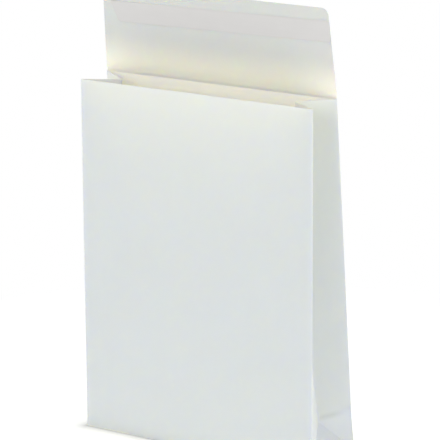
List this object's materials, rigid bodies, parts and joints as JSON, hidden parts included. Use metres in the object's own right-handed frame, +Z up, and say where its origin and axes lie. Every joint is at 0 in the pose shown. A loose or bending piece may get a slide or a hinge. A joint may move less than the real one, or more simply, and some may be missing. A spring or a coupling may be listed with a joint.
{
  "type": "cardboard envelope",
  "caption": "White card mailing envelope with a block bottom, bellows side gussets and a peel-and-seal closing flap, standing open.",
  "frame": {"origin": "middle of the base, on the surface that the envelope stands on", "axes": "+Z up, +X across the width to the right of someone facing the front panel, -Y out of the front panel"},
  "size_m": [0.2604, 0.0799, 0.4375],
  "materials": {
    "card": "smooth matt white card",
    "flap_card": "smooth matt white card",
    "seal_glue": "clear tacky film",
    "liner_paper": "satin coated paper"
  },
  "bodies": {
    "envelope": {"envelope_body": "card"},
    "flap": {"closing_flap": "flap_card", "seal_adhesive": "seal_glue", "release_liner": "liner_paper"}
  },
  "joints": [
    {"name": "flap_crease", "type": "hinge", "parent": "envelope", "child": "flap", "pos_m": [0, 0.00443, 0.3518], "axis": [1, 0, 0], "range_deg": [-170, 83]}
  ]
}
